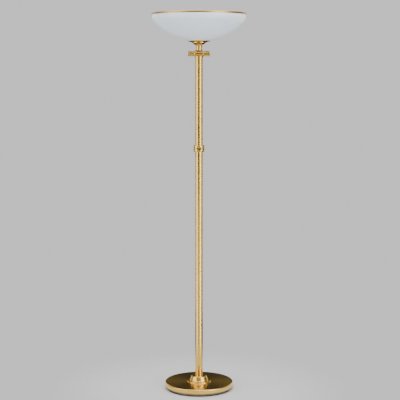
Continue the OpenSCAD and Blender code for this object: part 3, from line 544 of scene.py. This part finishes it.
def coil(name, r, wire, pitch, low_x, high_x, up, steps=12, sides=5):
    """A helix of wire along X at a height."""
    mesh = bmesh.new()
    turns = (high_x - low_x) / pitch
    rows = []
    for i in range(int(turns * steps) + 1):
        a = 2 * math.pi * i / steps
        out = Vector((0, math.cos(a), math.sin(a)))
        centre = Vector((low_x + pitch * i / steps, 0, up)) + r * out
        row = []
        for k in range(sides):
            b = 2 * math.pi * k / sides
            row.append(mesh.verts.new(centre + wire * (math.cos(b) * out + Vector((math.sin(b), 0, 0)))))
        rows.append(row)
    for here, there in zip(rows, rows[1:]):
        for k in range(sides):
            n = (k + 1) % sides
            mesh.faces.new((here[k], here[n], there[n], there[k]))
    mesh.faces.new(rows[0])
    mesh.faces.new(rows[-1])
    return finished(name, mesh, sharp=60)


def stands_for(piece, body, slot, material, *replaced):
    """Puts a new piece on its body, with its finish, in place of the nodes named."""
    piece.data.materials.clear()
    piece.data.materials.append(material)
    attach(piece, body)
    if replaced:
        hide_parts(*replaced)


# ---- Base ----

BASE_WALL = 1.6
BASE_EDGE = 4.0
BASE_LIP = 8.0
LIP_TURN = 75
NIPPLE_HOLE_R = 5.2
INLET_HOLE_R = 5.05


def base_shell():
    """The spun shell: a flat top, a rounded shoulder, an upright wall and a tucked-in lower edge."""
    low = span("base_shell")[0].z
    lip_z = low + BASE_LIP * math.sin(math.radians(LIP_TURN))
    edge = (base_r - BASE_EDGE, base_h - BASE_EDGE)
    lip = (base_r - BASE_LIP, lip_z)
    across = edge[0] - NIPPLE_HOLE_R
    top = [(NIPPLE_HOLE_R + across * (i / 12) ** 0.8, base_h) for i in range(12)]
    outline = top + arc(edge, BASE_EDGE, 90, 0, 16) + arc(lip, BASE_LIP, 0, -LIP_TURN, 20)
    outline += arc(lip, BASE_LIP - BASE_WALL, -LIP_TURN, 0, 16)
    outline += arc(edge, BASE_EDGE - BASE_WALL, 0, 90, 12)
    outline += [(NIPPLE_HOLE_R, base_h - BASE_WALL)]
    shell = turned("base_shell_turned", outline, 320)
    grommet = span("inlet_grommet")
    inlet = lay(TO_FRONT, (grommet[0].z + grommet[1].z) / 2)
    cut(shell, rod("inlet_cutter", INLET_HOLE_R, -base_r - 5, -base_r + 8, inlet))
    stands_for(shell, "stand", "satin_brass", brass_base, "base_shell")


def base_flange():
    """The thin round plate between the shell and the collar."""
    low, high = span("base_flange")
    r = high.x
    outline = [(NIPPLE_HOLE_R, low.z), (r - 0.6, low.z), (r, low.z + 0.6)]
    outline += arc((r - 1.6, high.z - 1.6), 1.6, 0, 90, 10) + [(r * 0.75, high.z), (NIPPLE_HOLE_R, high.z)]
    stands_for(turned("base_flange_turned", outline), "stand", "satin_brass", brass, "base_flange")


def base_collar():
    """The collar round the foot of the stem: a bead, a cone and a rounded flat top."""
    low, high = span("base_collar")
    top_r = 37.5
    bead, edge, wall = 2.5, 2.4, 2.0
    outline = [(high.x - wall - bead, low.z), (high.x - 1, low.z)]
    outline += arc((high.x - bead, low.z + bead), bead, -50, 90, 14)
    outline += arc((top_r - edge, high.z - edge), edge, 8, 90, 12)
    outline += [(28, high.z), (stem_r + 0.1, high.z), (stem_r + 0.1, high.z - wall - 1)]
    outline += [(top_r - edge - wall, high.z - wall - 1), (high.x - wall - bead, low.z + 2 * bead)]
    stands_for(turned("base_collar_turned", outline), "stand", "satin_brass", brass, "base_collar")


base_shell()
base_flange()
base_collar()


# ---- Stem and dimmer ----

STEM_WALL = 1.5
BUSH_R = 4.6
GRUB_R = 2.05
KNOB_SEAT_R = 12.3
SHAFT_R = 3.05
FLUTES = 24


def front_hole(name, r, near, far):
    """A round cutter that points to the front at the dimmer's height."""
    return rod(name, r, near, far, lay(TO_FRONT, dimmer_z))


def tube(node, screws):
    """A stem tube with softened ends, its opening for the dimmer and its grub screws' holes."""
    low, high = span(node)
    outer, inner, soft = stem_r, stem_r - STEM_WALL, 0.35
    outline = [(inner, low.z), (outer - soft, low.z)] + arc((outer - soft, low.z + soft), soft, -90, 0, 4)
    outline += arc((outer - soft, high.z - soft), soft, 0, 90, 4) + [(inner, high.z)]
    made = turned(node + "_turned", outline, 160)
    holes = [rod("screw_cutter", GRUB_R, -30, -10, lay(TO_FRONT, z), 48) for z in screws]
    cut(made, front_hole("bush_cutter", BUSH_R, 8, 38), *holes)
    stands_for(made, "stand", "satin_brass", brass, node)


def grub_heights():
    """The heights of the grub screws in the tubes, from the places of their corners."""
    places = sorted({round(v.co.z / MM, 1) for v in nodes["tube_grub_screws"].data.vertices})
    groups = [[places[0]]]
    for z in places[1:]:
        if z - groups[-1][-1] > 10:
            groups.append([])
        groups[-1].append(z)
    return [(g[0] + g[-1]) / 2 for g in groups]


def dimmer_ring(node, foot, top):
    """A ring round the stem with a seat for the knob; foot and top round its lower and upper edges."""
    low, high = span(node)
    r = high.x
    outline = [(stem_r + 0.05, high.z), (stem_r + 0.05, low.z)]
    outline += arc((r - foot, low.z + foot), foot, -90, 0, 14)
    outline += arc((r - top, high.z - top), top, 0, 90, 8)
    ring = turned(node + "_turned", outline, 192)
    seat = span("dimmer_panel_nut")[1].y * -1
    knob_seat = front_hole("seat_cutter", KNOB_SEAT_R, seat - 0.05, seat + 20)
    cut(ring, knob_seat, front_hole("bush_cutter", BUSH_R, 8, 38))
    stands_for(ring, "stand", "satin_brass", brass, node)


def fluting(count, depth, low, high, edge_r, sharpness):
    """Cuts along a turned edge between two heights, count times round it, wherever it is past edge_r."""
    def flute(angle, r, z):
        if not low <= z <= high or r <= edge_r:
            return 0.0
        fade = min(1.0, (z - low) / 0.6, (high - z) / 0.6)
        return depth * fade * (0.5 + 0.5 * math.cos(count * angle)) ** sharpness
    return flute


def dimmer_knob():
    """The round knob: fluted edge, dished face with two turned rings, and a pointer dot at the top."""
    low, high = span("dimmer_knob")
    back, front, r = -high.y, -low.y, high.x
    rise = [(r, back + 0.5 + (front - back - 1.5) * i / 24) for i in range(25)]
    outline = [(SHAFT_R, back), (7.6, back), (r - 0.5, back)] + rise
    outline += arc((r - 1, front - 1), 1, 0, 90, 10)[1:]
    dish_r, step, dish_depth, bore_end = r - 2.9, 0.4, 0.75, front - 3.5
    outline += [(r - 2.0, front), (r - 2.3, front - 0.35), (r - 2.6, front - step)]
    dish = [dish_r * (1 - i / 16) for i in range(17)]
    outline += [(x, front - step - dish_depth * (1 - (x / dish_r) ** 2)) for x in dish]
    outline += [(0, bore_end), (SHAFT_R, bore_end)]
    flutes = fluting(FLUTES, 0.45, back + 1.4, front - 1.6, r - 0.2, 3.0)
    knob = turned("dimmer_knob_turned", outline, 288, lay(TO_FRONT, dimmer_z), flutes)
    dot = lay(TO_FRONT, dimmer_z + r - 4.4)
    cut(knob, rod("dot_cutter", 0.8, front - 1.6, front + 3, dot, 32))
    stands_for(knob, "dimmer", "satin_brass", brass_knob, "dimmer_knob")


screws = grub_heights()
tube("lower_tube", screws[:1])
tube("upper_tube", screws[1:])
dimmer_ring("dimmer_ring_lower", 4.0, 0.4)
dimmer_ring("dimmer_ring_upper", 0.4, 1.2)
dimmer_knob()


# ---- Tilting knuckle ----

BOLT_R = 4.05


def bar_outline(start, end, edge, bore_end):
    """Half outline of a round bar from start to end, with a blind or open bore for the bolt."""
    inner_edge = 0.4
    r = (span("bar_cap")[1].z - span("bar_cap")[0].z) / 2
    body = [(BOLT_R, start), (r - inner_edge, start), (r, start + inner_edge)]
    body += [(r, start + inner_edge + (end - edge - start - inner_edge) * i / 30) for i in range(1, 30)]
    body += arc((r - edge, end - edge), edge, 0, 90, 10)
    if bore_end >= end:
        return body + [(BOLT_R, end)]
    face = [((r - edge) * (1 - i / 8), end - 0.35 * math.sin(math.pi * i / 16)) for i in range(1, 9)]
    return body + face + [(0, bore_end), (BOLT_R, bore_end)]


def cross_bar():
    """The plain cap on the right, the sleeve on the left, and the fluted clamping knob at the left end."""
    cap_low, cap_high = span("bar_cap")
    sleeve_low, sleeve_high = span("bar_sleeve")
    knob_low, knob_high = span("clamp_knob")
    right, left = lay(ALONG_X, pivot_z), lay(ALONG_MINUS_X, pivot_z)
    cap = turned("bar_cap_turned", bar_outline(cap_low.x, cap_high.x, 1.5, cap_high.x - 5), 160, right)
    stands_for(cap, "stand", "satin_brass", brass_bar, "bar_cap")
    sleeve = bar_outline(-sleeve_high.x, -sleeve_low.x, 0.4, -sleeve_low.x)
    sleeve = turned("bar_sleeve_turned", sleeve, 160, left)
    stands_for(sleeve, "stand", "satin_brass", brass_bar, "bar_sleeve")
    start, end = -knob_high.x, -knob_low.x
    flutes = fluting(FLUTES, 0.65, start + 2.0, end - 2.0, (knob_high.z - knob_low.z) / 2 - 0.2, 2.0)
    knob = turned("clamp_knob_turned", bar_outline(start, end, 1.5, end - 6), 288, left, flutes)
    stands_for(knob, "clamp", "satin_brass", brass_bar, "clamp_knob")


cross_bar()


# ---- Holder under the glass ----

def neck_tube():
    """The short tube between the knuckle's tongue and the bell."""
    low, high = span("neck_tube")
    inner = high.x - 1.5
    outline = [(inner, low.z), (high.x, low.z), (high.x, high.z), (inner, high.z)]
    stands_for(turned("neck_turned", outline, 160), "head", "satin_brass", brass, "neck_tube")


def bell():
    """The bell: a foot lip, a hollow flare and an upright band at the top."""
    low, high = span("bell")
    neck_r, r = radius("neck_tube"), high.x
    lip_out, lip_h, band_out, band_h = 2.1, 2.6, 3.3, 3.7
    lip_r, flare_z, band_z = neck_r + lip_out, low.z + lip_h, high.z - band_h
    flare_w, flare_h = r - band_out - lip_r, band_z - flare_z
    rise = [(lip_r + flare_w * (i / 40) ** 2, flare_z + flare_h * i / 40) for i in range(41)]
    outline = [(neck_r + 0.05, low.z), (lip_r - 0.5, low.z), (lip_r, low.z + 0.5)] + rise
    outline += arc((r - 1, band_z + 1), 1, -90, 0, 8) + arc((r - 1, high.z - 1), 1, 0, 90, 8)
    outline += [(neck_r + 0.05, high.z)]
    stands_for(turned("bell_turned", outline, 256), "head", "satin_brass", brass, "bell")


BOWL_R = 285.0
GLASS_T = 4.5
TURN_R = 35.0
bowl_low, bowl_high = span("glass_bowl")
GLASS_R = bowl_high.x
HOLE_R = 12.0

# The bowl's main curve has its centre at centre_z; past turn_angle degrees the tighter turn begins.
centre_z = bowl_low.z + math.sqrt(BOWL_R ** 2 - HOLE_R ** 2)
turn_angle = math.degrees(math.asin((GLASS_R - TURN_R) / (BOWL_R - TURN_R)))
turn_z = centre_z - (BOWL_R - TURN_R) * math.cos(math.radians(turn_angle))

DISH_EDGE_R = 53.2
DISH_EDGE = 0.8
DISH_BORE_R = 6.55
GASKET_T = 1.0


def seat_z(r):
    """The height of the dish's upper face, which follows the glass with the gasket between them."""
    return centre_z - math.sqrt((BOWL_R + GASKET_T) ** 2 - r ** 2)


def glass_dish():
    """The shallow dish that carries the glass, hollowed to the glass's curve, with a rolled edge."""
    low = span("glass_dish")[0].z
    flat_r = radius("bell") + 1
    edge_z = seat_z(DISH_EDGE_R) - DISH_EDGE
    flare = [i / 12 for i in range(12)]
    outline = [(DISH_BORE_R, low)]
    outline += [(flat_r + (DISH_EDGE_R - flat_r) * u, low + (edge_z - DISH_EDGE - low) * u) for u in flare]
    outline += arc((DISH_EDGE_R, edge_z), DISH_EDGE, -90, 90, 12)
    seat = [DISH_EDGE_R - 0.4 + (DISH_BORE_R - DISH_EDGE_R + 0.4) * i / 24 for i in range(25)]
    outline += [(r, seat_z(r)) for r in seat]
    stands_for(turned("glass_dish_turned", outline, 256), "head", "satin_brass", brass, "glass_dish")


def glass_bowl():
    """The opal bowl: one wide curve, a tighter turn and a short upright wall with a rounded lip."""
    top = bowl_high.z
    centre, corner = (0, centre_z), (GLASS_R - TURN_R, turn_z)
    outer_hole = math.degrees(math.asin(HOLE_R / BOWL_R))
    inner_hole = math.degrees(math.asin(HOLE_R / (BOWL_R - GLASS_T)))
    lip = GLASS_T / 2
    outline = arc(centre, BOWL_R, -90 + outer_hole, -90 + turn_angle, 80)
    outline += arc(corner, TURN_R, -90 + turn_angle, 0, 28)[1:]
    outline += arc((GLASS_R - lip, top - lip), lip, 0, 180, 12)
    outline += arc(corner, TURN_R - GLASS_T, 0, -90 + turn_angle, 24)
    outline += arc(centre, BOWL_R - GLASS_T, -90 + turn_angle, -90 + inner_hole, 80)[1:]
    bowl = turned("glass_bowl_blown", outline, 320)
    stands_for(bowl, "head", "opal_glass", finishes["opal_glass"], "glass_bowl")


def rim_ring():
    """The brass channel over the glass edge."""
    low, high = span("rim_ring")
    r, skin, cap = high.x, 1.0, 2.2
    leg = GLASS_R - GLASS_T - 0.05
    soft = cap * 0.9
    outline = [(r - skin, low.z), (r - 0.3, low.z), (r, low.z + 0.6)]
    outline += arc((r - soft, high.z - soft), soft, 0, 90, 14)
    outline += arc((leg - skin + soft, high.z - soft), soft, 90, 180, 14)
    outline += [(leg - skin, low.z + 1), (leg, low.z + 1), (leg, high.z - cap), (r - skin, high.z - cap)]
    stands_for(turned("rim_ring_turned", outline, 384), "head", "satin_brass", brass_rim, "rim_ring")


neck_tube()
bell()
glass_dish()
glass_bowl()
rim_ring()


# ---- Lamp and safety glass ----

QUARTZ_WALL = 1.0
QUARTZ_TIP_R = 1.5
QUARTZ_DOME_R = 4.0
LAMP_CAP_L = 8.8
LAMP_CAP_R = 3.6


def quartz_side(half, wall):
    """One side of the quartz from tip to tip, as (out, along) points, set in by a wall."""
    dome = arc((half - QUARTZ_DOME_R, QUARTZ_TIP_R), QUARTZ_DOME_R - wall, 90, 0, 10)
    left = [(-x, y) for x, y in reversed(dome)]
    return [(out, along) for along, out in [(wall - half, 0)] + left + dome + [(half - wall, 0)]]


def lamp_cap(end):
    """Half outline of a ceramic cap with a groove near its end."""
    start, r = end - LAMP_CAP_L, LAMP_CAP_R
    cap = [(0, start), (r - 0.5, start), (r, start + 0.5), (r, end - 3.2), (r - 0.3, end - 3.0)]
    cap += [(r - 0.3, end - 2.4), (r, end - 2.2)] + arc((r - 0.8, end - 0.8), 0.8, 0, 90, 6)
    return cap + [(1.7, end), (1.5, end - 0.6), (0, end - 0.6)]


def quartz_lamp():
    """The linear lamp: a quartz tube with domed ends, flat pinches, ceramic caps and a coiled filament."""
    low, high = span("lamp_tube")
    up = (low.z + high.z) / 2
    end = span("lamp_ends")[1].x
    along = lay(ALONG_X, up)
    glass, ceramic, steel = finishes["clear_glass"], finishes["white_ceramic"], finishes["zinc_steel"]
    outline = quartz_side(high.x, 0) + quartz_side(high.x, QUARTZ_WALL)[::-1]
    stands_for(turned("lamp_quartz", outline, 96, along), "head", "clear_glass", glass, "lamp_tube")
    for side, sign, place in (("left", -1, lay(ALONG_MINUS_X, up)), ("right", 1, along)):
        cap = turned("lamp_cap_" + side, lamp_cap(end), 72, place)
        stands_for(cap, "head", "white_ceramic", ceramic, *(["lamp_ends"] if side == "left" else []))
        contact = [(0, end - 0.6), (1.4, end - 0.6), (1.2, end), (0, end)]
        stands_for(turned("lamp_button_" + side, contact, 40, place), "head", "zinc_steel", steel)
        near, far = sorted((sign * (high.x - 0.8), sign * (end - LAMP_CAP_L + 0.2)))
        pinch = block("lamp_pinch_" + side, (near, -4.2, up - 1.6), (far, 4.2, up + 1.6), 0.9)
        stands_for(pinch, "head", "clear_glass", glass)
        foil = block("lamp_foil_" + side, (near + 1.5, -1.3, up - 0.06), (far - 1.5, 1.3, up + 0.06), 0.02)
        stands_for(foil, "head", "zinc_steel", filament_grey)
    wound = coil("lamp_filament", 1.1, 0.16, 0.8, 8 - high.x, high.x - 8, up)
    stands_for(wound, "head", "zinc_steel", filament_grey)


CLIP_T = 0.9
CLIP_BEND_R = 1.2
CLIP_HALF_W = 4.0


def safety_glass():
    """The toughened plate and its four bent spring clips."""
    low, high = span("safety_glass")
    reflector = span("reflector")
    plate_high = high.z - 1.05
    plate_low = span("lampholders")[1].z + 0.05
    half_w = reflector[1].y
    plate = block("safety_plate", (low.x, -half_w, plate_low), (high.x, half_w, plate_high), 0.7)
    stands_for(plate, "head", "clear_glass", finishes["clear_glass"], "safety_glass")
    wall, bend = half_w + 0.95, CLIP_BEND_R
    bends = [(wall - 5, low.z)] + arc((wall - bend, low.z + bend), bend, -90, 0, 5)
    bends += arc((wall - bend, high.z - bend), bend, 0, 90, 5) + [(wall - 4.4, high.z)]
    paths = {"front": [(-y, z) for y, z in reversed(bends)], "back": bends}
    for end, share in (("left", -0.6), ("right", 0.6)):
        middle = share * reflector[1].x
        for face, path in paths.items():
            name = "spring_clip_" + end + "_" + face
            clip = strip(name, path, CLIP_T, middle - CLIP_HALF_W, middle + CLIP_HALF_W)
            stands_for(clip, "head", "zinc_steel", finishes["zinc_steel"])


quartz_lamp()
safety_glass()


# ---- The carried nodes ----

SOFT_EDGE = {"lampholders": 0.8, "terminal_block": 0.6, "joint_fork": 0.3, "joint_tongue": 0.35,
             "base_weight": 1.2, "head_nuts": 0.4, "base_nut": 0.4}
KEPT_SHARP = {"stem_lead_lower", "stem_lead_upper", "head_lead", "terminal_screws", "knob_grub_screw"}
slots = {part["node"]: part["material_slot"] for part in frame["record"]["subparts"]}
for node, piece in nodes.items():
    material = finishes[slots[node]]
    piece.data.materials.clear()
    piece.data.materials.append(material)
    piece.data.shade_smooth()
    piece.data.set_sharp_from_angle(angle=math.radians(28))
    if node not in KEPT_SHARP:
        soft = piece.modifiers.new("soft_edges", "BEVEL")
        soft.width = SOFT_EDGE.get(node, 0.25) * MM
        soft.segments = 2
        soft.limit_method = "ANGLE"
        soft.angle_limit = math.radians(38)
        soft.harden_normals = True


# ---- Floor and air ----

DIM_ROOM = 0.04
PALE_AIR = 1.0


def floor():
    """A plain pale floor that melts into the pale air a few paces off."""
    mesh = bmesh.new()
    bmesh.ops.create_grid(mesh, x_segments=2, y_segments=2, size=3500)
    ground = finished("floor", mesh)
    paint = Paint("floor_paint", specular_ior_level=0.2, emission_strength=0.05, emission_color=(1, 1, 1))
    x, y, _ = paint.axes()
    tone = paint.noise(1.5, detail=3)
    paint.feed("Base Color", paint.mix(tone, (0.64, 0.64, 0.64), (0.67, 0.67, 0.67)))
    paint.feed("Roughness", 0.7 + tone * 0.1)
    paint.feed("Alpha", (x * x + y * y).root().ramp(0.8, 0.3))
    ground.data.materials.append(paint.material)


def air():
    """A pale backdrop; what the lamp mirrors beyond the floor and the panels is a dim room."""
    world = bpy.data.worlds.new("air")
    bpy.context.scene.world = world
    tree = Tree(world)
    seen = tree.node("ShaderNodeLightPath", out="Is Camera Ray")
    glow = tree.node("ShaderNodeBackground", inputs={"Strength": DIM_ROOM + seen * (PALE_AIR - DIM_ROOM)})
    tree.node("ShaderNodeOutputWorld", inputs={"Surface": glow}, out=None)


floor()
air()
